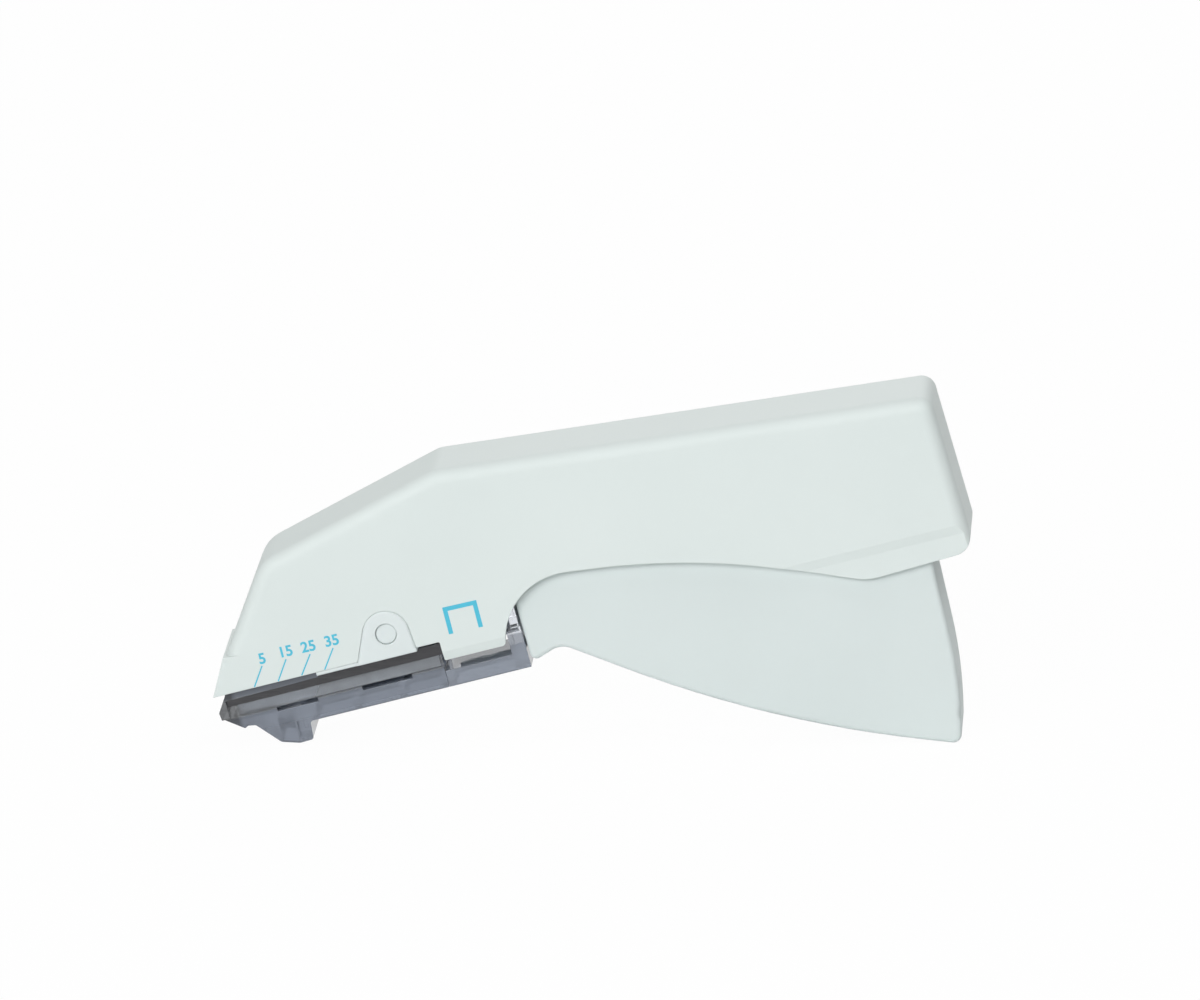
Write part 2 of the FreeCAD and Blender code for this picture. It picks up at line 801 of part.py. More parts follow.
def ejector_spring():
    """Leaf under the anvil: flat where it is fixed, bent down under the tongue."""
    top = anvil_bottom - seat_gap
    tip = tongue_front + leaf_tip_back
    return middle_slab([track(leaf_rear, top), track(leaf_bend, top), track(tip, top - leaf_drop),
                        track(tip, top - leaf_drop - leaf_thickness),
                        track(leaf_bend, top - leaf_thickness), track(leaf_rear, top - leaf_thickness)],
                       leaf_width / 2)


def staples():
    """Stack of open staples in the plane of the former, each a crown with two pointed legs."""
    half = staple_width / 2
    top = wire / 2
    low = wire / 2 - staple_leg
    bend = wire
    outline = [(-half, low), (-half, top - bend), (-half + bend, top), (half - bend, top),
               (half, top - bend), (half, low), (half - wire, low + wire), (half - wire, top - wire),
               (wire - half, top - wire), (wire - half, low + wire)]

    def place(y, up):
        return spot(former_at(up, -wire / 2), y)

    first = sheet(outline, place, Vector(cos(lean), 0, -sin(lean)) * wire)
    stack = []
    for index in range(staple_count):
        along = stack_gap + index * staple_pitch
        staple = first.copy()
        staple.translate(Vector(along * cos(rise), 0, along * sin(rise)))
        stack.append(staple)
    return Part.makeCompound(stack)


def sled_front():
    """How far the sled's front face lies behind the former's plane."""
    stack = stack_gap + (staple_count - 1) * staple_pitch
    return stack * cos(rise + lean) + wire / 2 + seat_gap


def feed_pusher():
    """Sled astride the anvil: a slanted head against the stack, a roof and two skirts."""
    top = base_top + seat_gap - sled_top_gap
    front = sled_front()
    out = channel_side - skirt_gap
    skirts = side_slabs([slanted(front, sled_skirt), track(sled_rear, sled_skirt), track(sled_rear, top),
                         slanted(front, top)], out - sled_wall, out)
    roof = middle_slab([slanted(front, top - sled_wall), track(sled_rear, top - sled_wall),
                        track(sled_rear, top), slanted(front, top)], out)
    head_low = anvil_top + sled_head_gap
    head = middle_slab([slanted(front, head_low), slanted(front + sled_head, head_low),
                        slanted(front + sled_head, top), slanted(front, top)], out)
    return joined([roof, head] + skirts)


def feed_spring():
    head_back = slanted(sled_front() + sled_head, spring_level + feed_coil_width / 2)
    start = spot(head_back) - Vector(-sin(rise), 0, cos(rise)) * (feed_coil_width / 2)
    along = Vector(cos(rise), 0, sin(rise))
    end = spot(track(seat_block_front - seat_flange, spring_level))
    return coil(start + along * seat_gap, end - along * seat_gap, feed_coil_width, feed_wire, feed_turns)


def spring_rod():
    return track_bar(rod_front, seat_block_front + seat_stem - rod_end_gap, spring_level, rod_radius)


def spring_seat():
    flange = track_bar(seat_block_front - seat_flange, seat_block_front, spring_level, seat_radius)
    stem = track_bar(seat_block_front - seat_flange / 2, seat_block_front + seat_stem, spring_level,
                     seat_stem_radius)
    hole = track_bar(seat_block_front - 2 * seat_flange, seat_block_front + seat_stem - rod_end_gap,
                     spring_level, rod_radius + running_gap)
    return joined([flange, stem]).cut(hole)


def return_spring():
    low = Vector(spring_x, 0, spring_floor + seat_gap)
    high = Vector(spring_x, 0, spring_roof() - seat_gap)
    return coil(low, high, spring_width, spring_wire, spring_turns)


def place_on_floor(pieces):
    """Moves every piece so that the origin is the middle of the footprint, on the floor."""
    boxes = [solid.optimalBoundingBox(False) for solid in pieces.values()]
    middle = (min(box.XMin for box in boxes) + max(box.XMax for box in boxes)) / 2
    floor = min(box.ZMin for box in boxes)
    for solid in pieces.values():
        solid.translate(Vector(-middle, 0, -floor))
    print("pivot at", round(-middle, 3), round(-floor, 3))


makers = [
    housing, cartridge_frame, pivot_pin, trigger, drive_pin, return_spring, former, nose_plate,
    former_guide, magazine_base, magazine_tail, track_cover, anvil_plate, ejector_spring, staples,
    feed_pusher, feed_spring, spring_rod, spring_seat,
]
pieces = {maker.__name__: maker() for maker in makers}
place_on_floor(pieces)
print("former travel", round(drive_travel(), 4), "feed travel", round((staple_count - 1) * staple_pitch, 3))
os.makedirs("parts", exist_ok=True)
for name, solid in pieces.items():
    solid.exportStep(f"parts/{name}.step")
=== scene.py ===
"""Looks of a disposable skin stapler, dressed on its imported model.

The stapler is white moulded ABS with a clear grey staple cartridge under its nose.
Places are in metres in the model's frame: X towards the grip's rear end, Y across, Z up.
Names that end in _mm hold millimetres. The pivot's axis and the staple track give most places.
"""
import json
from math import cos, pi, radians, sin

import bpy
import numpy as np
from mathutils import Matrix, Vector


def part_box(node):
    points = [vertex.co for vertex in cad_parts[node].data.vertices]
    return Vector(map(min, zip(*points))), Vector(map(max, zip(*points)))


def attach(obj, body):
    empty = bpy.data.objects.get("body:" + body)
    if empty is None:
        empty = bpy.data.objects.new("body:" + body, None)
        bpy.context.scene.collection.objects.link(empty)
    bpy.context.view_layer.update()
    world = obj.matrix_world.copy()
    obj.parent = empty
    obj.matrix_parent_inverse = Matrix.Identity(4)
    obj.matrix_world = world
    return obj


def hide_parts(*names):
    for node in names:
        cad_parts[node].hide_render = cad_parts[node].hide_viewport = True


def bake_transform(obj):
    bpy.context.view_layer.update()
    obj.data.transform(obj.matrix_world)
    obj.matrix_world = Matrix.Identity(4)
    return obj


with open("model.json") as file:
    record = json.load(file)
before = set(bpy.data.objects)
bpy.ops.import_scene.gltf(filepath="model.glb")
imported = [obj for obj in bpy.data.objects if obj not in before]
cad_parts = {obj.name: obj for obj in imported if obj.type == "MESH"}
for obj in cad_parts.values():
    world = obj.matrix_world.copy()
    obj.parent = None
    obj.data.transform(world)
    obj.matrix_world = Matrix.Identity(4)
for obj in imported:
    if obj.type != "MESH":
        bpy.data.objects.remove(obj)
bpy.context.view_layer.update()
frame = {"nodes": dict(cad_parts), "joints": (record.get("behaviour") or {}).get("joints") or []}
joints = {joint["name"]: joint for joint in frame["joints"]}

# Housing
# The body is one inverted channel of white ABS, injection moulded with a satin spark-eroded face.
# It is the part that the hand holds, and everything else is carried inside it.
mm = 0.001
abs_white = "#DDE5E3"
abs_shade = "#D6DFDD"
abs_roughness = 0.55
abs_ior = 1.54
abs_specular = 0.25
abs_roughness_spread = 0.05
satin_grain_mm = 0.45
satin_grain_depth_mm = 0.012
satin_bump = 0.5
flow_cloud_mm = 38.0
broken_edge_mm = 0.25
edge_samples = 6


def linear(hex_colour):
    """Linear RGBA of an sRGB hex colour: each channel goes through the sRGB curve."""
    channels = np.array([int(hex_colour[i:i + 2], 16) for i in (1, 3, 5)]) / 255
    curved = np.where(channels <= 0.04045, channels / 12.92, ((channels + 0.055) / 1.055) ** 2.4)
    return (*curved.tolist(), 1.0)


def add_node(tree, kind, inputs=None, **settings):
    """Adds a node, sets its properties, and fills its inputs with values or other nodes' outputs."""
    made = tree.nodes.new(kind)
    for name, value in settings.items():
        setattr(made, name, value)
    for name, value in (inputs or {}).items():
        if isinstance(value, bpy.types.NodeSocket):
            tree.links.new(value, made.inputs[name])
        else:
            made.inputs[name].default_value = value
    return made


def new_finish(name):
    """A node material: returns it with its tree, its shader and the shaded place on the object."""
    material = bpy.data.materials.new(name)
    material.use_nodes = True
    tree = material.node_tree
    place = add_node(tree, "ShaderNodeTexCoord").outputs["Object"]
    return material, tree, tree.nodes["Principled BSDF"], place


def marks(size_mm):
    """Texture scale that makes marks of that size."""
    return 1 / (size_mm * mm)


def soft_edges(tree, radius_mm):
    """Normal that turns smoothly over each edge, as on a moulded or deburred piece."""
    rounded = add_node(tree, "ShaderNodeBevel", {"Radius": radius_mm * mm}, samples=edge_samples)
    return rounded.outputs["Normal"]


def uneven_surface(tree, shader, tone, light_hex, dark_hex, grain, roughness, spread):
    """Lets one pattern, the tone, take the colour from light to dark, and another, the grain, the roughness.

    The roughness runs from its middle value less the spread to its middle value plus the spread.
    """
    # The Mix node's colour sockets are its inputs 6 and 7 and its output 2, counted from 0.
    tint = add_node(tree, "ShaderNodeMix", {0: tone, 6: linear(light_hex), 7: linear(dark_hex)},
                    data_type="RGBA")
    gloss = add_node(tree, "ShaderNodeMapRange", {"Value": grain, "To Min": roughness - spread,
                                                  "To Max": roughness + spread})
    tree.links.new(tint.outputs[2], shader.inputs["Base Color"])
    tree.links.new(gloss.outputs["Result"], shader.inputs["Roughness"])


def moulded_abs(name, light_hex, shade_hex, roughness, edge_mm):
    """Opaque white ABS: faint flow clouds in its colour and the fine grain of a spark-eroded mould."""
    material, tree, shader, place = new_finish(name)
    clouds = add_node(tree, "ShaderNodeTexNoise", {"Vector": place, "Scale": marks(flow_cloud_mm),
                                                   "Detail": 2.0}).outputs["Fac"]
    grain = add_node(tree, "ShaderNodeTexNoise", {"Vector": place, "Scale": marks(satin_grain_mm),
                                                  "Detail": 3.0}).outputs["Fac"]
    uneven_surface(tree, shader, clouds, light_hex, shade_hex, grain, roughness, abs_roughness_spread)
    bump = add_node(tree, "ShaderNodeBump", {"Height": grain, "Strength": satin_bump,
                                             "Distance": satin_grain_depth_mm * mm,
                                             "Normal": soft_edges(tree, edge_mm)})
    tree.links.new(bump.outputs["Normal"], shader.inputs["Normal"])
    shader.inputs["IOR"].default_value = abs_ior
    shader.inputs["Specular IOR Level"].default_value = abs_specular
    return material


def dress(node, material):
    """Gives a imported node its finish."""
    mesh = frame["nodes"][node].data
    mesh.materials.clear()
    mesh.materials.append(material)


dress("housing", moulded_abs("housing_satin_abs", abs_white, abs_shade, abs_roughness, broken_edge_mm))

# Counting scale
# Four numbers and slanted ticks show how many staples are left, read against the pusher inside.
# They are pad printed on the housing's side in one pale blue ink, three hundredths of a millimetre thick.
ink_blue = "#3DB6D3"
ink_thin_blue = "#55BFD8"
ink_thickness_mm = 0.03
ink_speckle_mm = 0.25
ink_roughness = 0.45
ink_roughness_spread = 0.05
digit_height_mm = 2.6
digit_weight_mm = 0.09
digit_share_of_size = 0.73
digit_tilt = radians(13.0)
digit_curve_steps = 6
tick_width_mm = 0.32
# Each row holds the number, its middle from the pivot (x, z), and its tick's ends on the track (t, n).
scale_marks = (
    ("5", (-29.2, -5.7), (-33.3, -4.8), (-30.2, -0.3)),
    ("15", (-23.7, -4.0), (-27.5, -4.8), (-24.3, -0.1)),
    ("25", (-18.3, -2.8), (-21.8, -4.8), (-18.5, -0.3)),
    ("35", (-12.8, -1.4), (-16.2, -4.8), (-12.9, -0.2)),
)

pivot = np.array(joints["trigger_squeeze"]["pos_m"])
forward = np.array(joints["staple_feed"]["axis"])
along_track = -forward / np.linalg.norm(forward)
off_track = np.array([-along_track[2], 0.0, along_track[0]])
side_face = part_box("housing")[0].y


def new_piece(name, points, faces, material, body, smooth=False):
    """Mesh piece that rides on a body."""
    mesh = bpy.data.meshes.new(name)
    mesh.from_pydata(np.asarray(points).reshape(-1, 3).tolist(), [], faces)
    mesh.polygons.foreach_set("use_smooth", [smooth] * len(mesh.polygons))
    mesh.materials.append(material)
    piece = bpy.data.objects.new(name, mesh)
    bpy.context.scene.collection.objects.link(piece)
    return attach(piece, body)


def pad_ink(name, strong_hex, thin_hex):
    """Pad-printed ink: slightly thinner, so paler, in small patches, and half matt."""
    material, tree, shader, place = new_finish(name)
    patches = add_node(tree, "ShaderNodeTexNoise", {"Vector": place, "Scale": marks(ink_speckle_mm),
                                                    "Detail": 2.0}).outputs["Fac"]
    uneven_surface(tree, shader, patches, strong_hex, thin_hex, patches, ink_roughness,
                   ink_roughness_spread)
    return material


def text_relief(words, height_mm):
    """Points and faces of words lying in the XY plane, middle at the origin, in millimetres."""
    curve = bpy.data.curves.new("words", "FONT")
    curve.body = words
    curve.size = height_mm / digit_share_of_size
    curve.align_x = "CENTER"
    curve.resolution_u = digit_curve_steps
    curve.extrude = ink_thickness_mm / 2
    curve.offset = digit_weight_mm
    shaped = bpy.data.objects.new("words", curve)
    mesh = bpy.data.meshes.new_from_object(shaped)
    points = np.zeros(len(mesh.vertices) * 3)
    mesh.vertices.foreach_get("co", points)
    points = points.reshape(-1, 3)
    points[:, 1] -= height_mm / 2
    faces = [list(face.vertices) for face in mesh.polygons]
    bpy.data.objects.remove(shaped)
    bpy.data.meshes.remove(mesh)
    return points, faces


def on_side(flat_points, middle_mm, tilt):
    """Flat points in millimetres set on the housing's near side, turned about their middle by tilt."""
    x = flat_points[:, 0] * cos(tilt) - flat_points[:, 1] * sin(tilt) + middle_mm[0]
    z = flat_points[:, 0] * sin(tilt) + flat_points[:, 1] * cos(tilt) + middle_mm[1]
    y = flat_points[:, 2] + ink_thickness_mm / 2
    placed = np.stack([x, -y, z], axis=1) * mm
    return placed + np.array([pivot[0], side_face, pivot[2]])


def ink_slab(outline, front):
    """Points and faces of a flat outline given the ink's thickness, in millimetres.

    The outline is copied to the ink's foot and to its top, and walls join the two copies. Front holds
    the faces inside the outline, by the numbers of their corners.
    """
    corners = len(outline)
    foot = np.column_stack([outline, np.full(corners, -ink_thickness_mm / 2)])
    top = np.column_stack([outline, np.full(corners, ink_thickness_mm / 2)])
    raised = [[index + corners for index in face] for face in front]
    turned = [face[::-1] for face in front]
    walls = [[i, (i + 1) % corners, (i + 1) % corners + corners, i + corners] for i in range(corners)]
    return np.vstack([foot, top]), raised + turned + walls


def bar_relief(start, end, width_mm):
    """Points and faces of a straight printed bar between two flat places, in millimetres."""
    run = np.subtract(end, start)
    aside = np.array([-run[1], run[0]]) / np.linalg.norm(run) * width_mm / 2
    outline = np.array([start - aside, end - aside, end + aside, start + aside])
    return ink_slab(outline, [[0, 1, 2, 3]])


def track_to_side(t_mm, n_mm):
    """Flat place on the side, from the pivot, of a place on the track."""
    place = t_mm * along_track + n_mm * off_track
    return np.array([place[0], place[2]])


def gathered(reliefs):
    """Points and faces of several reliefs as one."""
    points = []
    faces = []
    for relief_points, relief_faces in reliefs:
        start = sum(len(group) for group in points)
        points.append(relief_points)
        faces += [[index + start for index in face] for face in relief_faces]
    return np.vstack(points), faces


blue_ink = pad_ink("pad_printed_blue_ink", ink_blue, ink_thin_blue)
scale_reliefs = []
for number, middle, tick_foot, tick_head in scale_marks:
    points, faces = text_relief(number, digit_height_mm)
    scale_reliefs.append((on_side(points, middle, digit_tilt), faces))
    points, faces = bar_relief(track_to_side(*tick_foot), track_to_side(*tick_head), tick_width_mm)
    scale_reliefs.append((on_side(points, (0, 0), 0.0), faces))
new_piece("counting_scale", *gathered(scale_reliefs), blue_ink, "body")

# Staple sign
# A plain outline of an open staple, points down, shows what the stapler holds.
# It is pad printed on the housing's side in the ink of the counting scale.
sign_middle = (18.0, 4.0)
sign_width_mm = 8.2
sign_height_mm = 6.6
sign_stroke_mm = 1.05


def open_staple_relief(width_mm, height_mm, stroke_mm):
    """Points and faces of a flat open staple: one outline of eight corners, in millimetres."""
    out_y, out_x, in_x = height_mm / 2, width_mm / 2, width_mm / 2 - stroke_mm
    outline = np.array([(-out_x, -out_y), (-in_x, -out_y), (-in_x, out_y - stroke_mm),
                        (in_x, out_y - stroke_mm), (in_x, -out_y), (out_x, -out_y),
                        (out_x, out_y), (-out_x, out_y)])
    left_leg, crown, right_leg = [0, 1, 2, 7], [2, 3, 6, 7], [3, 4, 5, 6]
    return ink_slab(outline, [left_leg, crown, right_leg])


points, faces = open_staple_relief(sign_width_mm, sign_height_mm, sign_stroke_mm)
new_piece("staple_sign", on_side(points, sign_middle, digit_tilt), faces, blue_ink, "body")

# Trigger
# The squeeze lever is an open-topped shell of the same white ABS, a shade deeper in colour.
# Its hub turns on the pivot pin, and two arms in front drive the former.
trigger_white = "#D9E2E1"
trigger_shade = "#D2DBDA"
trigger_roughness = 0.57
trigger_edge_mm = 1.2
dress("trigger", moulded_abs("trigger_satin_abs", trigger_white, trigger_shade, trigger_roughness,
                             trigger_edge_mm))

# Cartridge frame and pivot pin
# The saddle's two ears sit in the sides of the housing and hold the cartridge on the pivot pin.
# Both are moulded in ABS of nearly the body's white, in a mould polished a little glossier.
ear_white = "#DDE5E5"
ear_shade = "#D7DFDF"
ear_roughness = 0.45
ear_edge_mm = 0.5
frame_abs = moulded_abs("frame_gloss_abs", ear_white, ear_shade, ear_roughness, ear_edge_mm)
dress("cartridge_frame", frame_abs)
dress("pivot_pin", frame_abs)

# Return spring
# A compression coil of drawn spring steel stands between the trigger's floor and the roof.
# Its end turns are closed and it is pushed over a moulded post at each end.
spring_steel_grey = "#B4B6BA"
spring_steel_dark = "#94979C"
spring_roughness = 0.3
drawn_roughness_spread = 0.06
draw_line_mm = 0.3
return_wire_mm = 1.1
return_turns = 7
coil_steps_per_turn = 40
wire_sides = 10
closed_share = 0.12


def drawn_steel(name, light_hex, dark_hex, roughness):
    """Drawn spring wire: bright metal with fine lines and a slightly uneven tone."""
    material, tree, shader, place = new_finish(name)
    lines = add_node(tree, "ShaderNodeTexNoise", {"Vector": place, "Scale": marks(draw_line_mm),
                                                  "Detail": 4.0}).outputs["Fac"]
    uneven_surface(tree, shader, lines, light_hex, dark_hex, lines, roughness, drawn_roughness_spread)
    shader.inputs["Metallic"].default_value = 1.0
    return material


def swept_ring(centres, out, side, radii, sides):
    """Points of a round wire: at each centre, a ring in the plane of its out and side directions."""
    turn = np.linspace(0, 2 * pi, sides, endpoint=False)
    outwards = np.cos(turn)[None, :, None] * out[:, None, :]
    sideways = np.sin(turn)[None, :, None] * side[:, None, :]
    ring = outwards + sideways
    return centres[:, None, :] + ring * radii[:, None, None]


def ring_faces(rings, sides):
    """Faces of a tube of rings, closed at both ends."""
    row, column = np.meshgrid(np.arange(rings - 1), np.arange(sides), indexing="ij")
    here = row * sides + column
    beside = row * sides + (column + 1) % sides
    faces = np.stack([here, beside, beside + sides, here + sides], axis=-1).reshape(-1, 4).tolist()
    last = (rings - 1) * sides
    return faces + [list(range(sides))[::-1], list(range(last, last + sides))]


def coil(foot, head, width, wire, turns):
    """Coil spring: the wire's centre turns about the axis, and climbs slowly at both ends.

    The climb is the smooth step of the turn's share, mixed with an even climb, so the end turns close.
    """
    axis = (head - foot) / np.linalg.norm(head - foot)
    across = np.cross(axis, [0.0, 1.0, 0.0])
    across /= np.linalg.norm(across)
    deep = np.cross(axis, across)
    share = np.linspace(0, 1, turns * coil_steps_per_turn + 1)
    eased = np.clip((share - closed_share) / (1 - 2 * closed_share), 0, 1)
    closed_rise = wire / (np.linalg.norm(head - foot) - wire)
    climb = closed_rise * np.minimum(share, closed_share) / closed_share
    climb = climb + closed_rise * np.maximum(share - 1 + closed_share, 0) / closed_share
    climb = climb + (1 - 2 * closed_rise) * eased
    angle = 2 * pi * turns * share
    radial = np.cos(angle)[:, None] * across + np.sin(angle)[:, None] * deep
    height = climb * (np.linalg.norm(head - foot) - wire) + wire / 2
    centres = foot + axis * height[:, None] + radial * (width - wire) / 2
    tangent = np.gradient(centres, axis=0)
    side = np.cross(tangent, radial)
    side /= np.linalg.norm(side, axis=1)[:, None]
    radii = np.full(len(share), wire / 2)
    return swept_ring(centres, radial, side, radii, wire_sides), ring_faces(len(share), wire_sides)


spring_steel = drawn_steel("drawn_spring_steel", spring_steel_grey, spring_steel_dark,
                           spring_roughness)
low, high = (np.array(corner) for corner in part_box("return_spring"))
middle_x = (low[0] + high[0]) / 2
return_foot = np.array([middle_x, 0.0, low[2]])
return_head = np.array([middle_x, 0.0, high[2]])
return_wire = coil(return_foot, return_head, high[0] - low[0], return_wire_mm * mm, return_turns)
return_coil = new_piece("return_spring_coil", *return_wire, spring_steel, "body", smooth=True)
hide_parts("return_spring")
return_coil.parent = None
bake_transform(return_coil)

# Former, nose plate and drive pin
# The former is blanked from stainless strip, ground on its faces, and slides against the nose plate.
# The drive pin is a short ground steel rod that the trigger's arms push the former down with.
blank_steel = "#A9ABAE"
blank_steel_dark = "#8C8E92"
former_roughness = 0.32
ground_roughness_spread = 0.08
grind_line_mm = 0.12
grind_stretch = 24.0
grind_bump = 0.3
grind_depth_mm = 0.01


def ground_steel(name, light_hex, dark_hex, roughness, line_mm, stretch_axis):
    """Ground or rolled stainless strip: fine straight lines, long in the direction it was rolled."""
    material, tree, shader, place = new_finish(name)
    stretch = [1.0, 1.0, 1.0]
    stretch[stretch_axis] = 1 / grind_stretch
    stretched = add_node(tree, "ShaderNodeMapping", {"Vector": place, "Scale": stretch})
    lines = add_node(tree, "ShaderNodeTexNoise", {"Vector": stretched.outputs["Vector"],
                                                  "Scale": marks(line_mm), "Detail": 3.0}).outputs["Fac"]
    uneven_surface(tree, shader, lines, light_hex, dark_hex, lines, roughness, ground_roughness_spread)
    bump = add_node(tree, "ShaderNodeBump", {"Height": lines, "Strength": grind_bump,
                                             "Distance": grind_depth_mm * mm})
    tree.links.new(bump.outputs["Normal"], shader.inputs["Normal"])
    shader.inputs["Metallic"].default_value = 1.0
    return material


# The axis that a strip's lines run along: Z on upright pieces, X on those that lie along the stapler.
upright, lengthwise = 2, 0
former_steel = ground_steel("ground_stainless_strip", blank_steel, blank_steel_dark, former_roughness,
                            grind_line_mm, upright)
for node in ("former", "nose_plate", "drive_pin"):
    dress(node, former_steel)

# Former guide, feed pusher and spring seat
# These are small pieces moulded in pale grey acetal, which slides on steel without oil.
# The guide is fixed in the nose, the pusher slides along the track, and the seat stands in the tail.
acetal_grey = "#C4C7C9"
acetal_shade = "#B4B7BA"
acetal_roughness = 0.45
acetal_roughness_spread = 0.05
mottle_mm = 1.5


def moulded_acetal(name, light_hex, shade_hex, roughness):
    """Acetal: dense, slightly waxy and matt, with a faint mottle."""
    material, tree, shader, place = new_finish(name)
    mottle = add_node(tree, "ShaderNodeTexNoise", {"Vector": place, "Scale": marks(mottle_mm),
                                                   "Detail": 3.0}).outputs["Fac"]
    uneven_surface(tree, shader, mottle, light_hex, shade_hex, mottle, roughness, acetal_roughness_spread)
    return material


acetal = moulded_acetal("moulded_grey_acetal", acetal_grey, acetal_shade, acetal_roughness)
for node in ("former_guide", "feed_pusher", "spring_seat"):
    dress(node, acetal)

# Magazine base and tail
# Both are clear grey polycarbonate, moulded and polished, so that the stack behind them can be counted.
# The front one carries the hooked foot, and the rear one closes the track and holds the spring seat.
polycarbonate_ior = 1.585
clear_roughness = 0.03
clear_roughness_spread = 0.05
ripple_mm = 3.0
ripple_depth_mm = 0.08
ripple_bump = 0.4
ripple_shade = 0.88
level_blend_mm = 0.5
# Each row holds the height over the track in millimetres where a finish starts, its tint and its
# clear share: the walls, ribs and pockets there let more or less light through.
base_levels = (
    (-25.0, "#8F97A5", 0.6),
    (-16.5, "#8C94A2", 0.52),
    (-12.6, "#DCE0E5", 0.95),
    (-7.6, "#8E95A2", 0.45),
)
tail_levels = (
    (-25.0, "#9AA2AF", 0.6),
    (-11.2, "#E8ECF2", 0.95),
)
# The nose is darker and less clear than the rest, as painted shade, up to this place along the track in
# millimetres from the pivot.
nose_end_mm = -40.0
nose_fade_mm = 1.2
nose_painted_shade = 0.3
nose_clear = 0.6


def level_ramp(tree, place, levels):
    """Colour ramp over the height above the track, which jumps to each row's finish in one short blend.

    Its colour is the tint and its alpha is the clear share.
    """
    height = add_node(tree, "ShaderNodeVectorMath", {0: place, 1: tuple(off_track)},
                      operation="DOT_PRODUCT")
    zero = float(pivot @ off_track)
    low, high = levels[0][0], levels[-1][0] + level_blend_mm
    share = add_node(tree, "ShaderNodeMapRange", {"Value": height.outputs["Value"],
                                                  "From Min": zero + low * mm, "From Max": zero + high * mm})
    ramp = add_node(tree, "ShaderNodeValToRGB", {0: share.outputs["Result"]})
    stops = ramp.color_ramp.elements
    stops.remove(stops[1])
    finishes = [(*linear(tint)[:3], clear) for _, tint, clear in levels]
    stops[0].color = finishes[0]
    for (level, _, _), below, above in zip(levels[1:], finishes, finishes[1:]):
        stops.new((level - low) / (high - low)).color = below
        stops.new((level + level_blend_mm - low) / (high - low)).color = above
    return ramp


def behind_nose_share(tree, place):
    """Is 0 in the nose and 1 behind it, by the place along the track."""
    along = add_node(tree, "ShaderNodeVectorMath", {0: place, 1: tuple(along_track)},
                     operation="DOT_PRODUCT")
    start = float(pivot @ along_track) + nose_end_mm * mm
    share = add_node(tree, "ShaderNodeMapRange", {"Value": along.outputs["Value"], "From Min": start,
                                                  "From Max": start + nose_fade_mm * mm})
    return share.outputs["Result"]


def clear_polycarbonate(name, levels):
    """Clear smoke-grey plastic, a little milky: polished and slightly rippled by flow.

    The tint and the clearness follow the height over the track, and both are less in the nose, as painted
    shade.
    """
    material, tree, shader, place = new_finish(name)
    ripple = add_node(tree, "ShaderNodeTexNoise", {"Vector": place, "Scale": marks(ripple_mm),
                                                   "Detail": 2.0})
    ramp = level_ramp(tree, place, levels)
    shade = add_node(tree, "ShaderNodeMapRange", {"Value": ripple.outputs["Fac"], "To Min": 1.0,
                                                  "To Max": ripple_shade})
    behind_nose = behind_nose_share(tree, place)
    # Painted shade: in the nose the tint is darkened and the clear share lowered.
    nose = add_node(tree, "ShaderNodeMapRange", {"Value": behind_nose, "To Min": nose_painted_shade, "To Max": 1.0})
    nose_share = add_node(tree, "ShaderNodeMapRange", {"Value": behind_nose, "To Min": nose_clear,
                                                       "To Max": 1.0})
    shades = add_node(tree, "ShaderNodeMath", {0: shade.outputs["Result"], 1: nose.outputs["Result"]},
                      operation="MULTIPLY")
    tint = add_node(tree, "ShaderNodeVectorMath", {0: ramp.outputs["Color"], 1: shades.outputs[0]},
                    operation="MULTIPLY")
    clearness = add_node(tree, "ShaderNodeMath", {0: ramp.outputs["Alpha"], 1: nose_share.outputs["Result"]},
                         operation="MULTIPLY")
    gloss = add_node(tree, "ShaderNodeMapRange", {"Value": ripple.outputs["Fac"], "To Min": clear_roughness,
                                                  "To Max": clear_roughness + clear_roughness_spread})
    bump = add_node(tree, "ShaderNodeBump", {"Height": ripple.outputs["Fac"], "Strength": ripple_bump,
                                             "Distance": ripple_depth_mm * mm,
                                             "Normal": soft_edges(tree, broken_edge_mm)})
    tree.links.new(tint.outputs[0], shader.inputs["Base Color"])
    tree.links.new(gloss.outputs["Result"], shader.inputs["Roughness"])
    tree.links.new(bump.outputs["Normal"], shader.inputs["Normal"])
    tree.links.new(clearness.outputs[0], shader.inputs["Transmission Weight"])
    shader.inputs["IOR"].default_value = polycarbonate_ior
    return material


dress("magazine_base", clear_polycarbonate("clear_grey_polycarbonate", base_levels))
dress("magazine_tail", clear_polycarbonate("clear_grey_polycarbonate_tail", tail_levels))

# Track cover
# A strip of dark rolled stainless steel is folded down over the track and keeps the staples in it.
# It is blanked and bent to a channel, and closes the staple track from above.
cover_steel = "#5B5B5D"
cover_steel_dark = "#3E3E40"
cover_roughness = 0.34
dress("track_cover", ground_steel("rolled_dark_stainless", cover_steel, cover_steel_dark, cover_roughness,
                                  grind_line_mm, lengthwise))

# Anvil plate, ejector spring and spring rod
# The anvil is the steel rail that the staples straddle; its narrow tongue is what they fold round.
# The leaf under it lifts the closed staple off, and the rod keeps the long feed spring straight.
rail_roughness = 0.3
for node in ("anvil_plate", "ejector_spring", "spring_rod"):
    dress(node, ground_steel(node + "_stainless", blank_steel, blank_steel_dark, rail_roughness,
                             grind_line_mm, lengthwise))

# Staples
# Thirty-five staples of round stainless wire stand in a stack, each bent square with two sharp points.
# They lean with the former, astride the anvil, behind the clear wall of the cartridge.
staple_bright = "#DEE0E3"
staple_dark = "#C2C6CB"
staple_count = 35
staple_wire_mm = 0.45
staple_pitch_mm = 0.575
staple_width_mm = 12.5
staple_leg_mm = 3.7
staple_bend_mm = 0.55
point_length_mm = 0.5
point_taper = 0.3
staple_roughness = 0.25
bend_steps = 5
staple_sides = 8

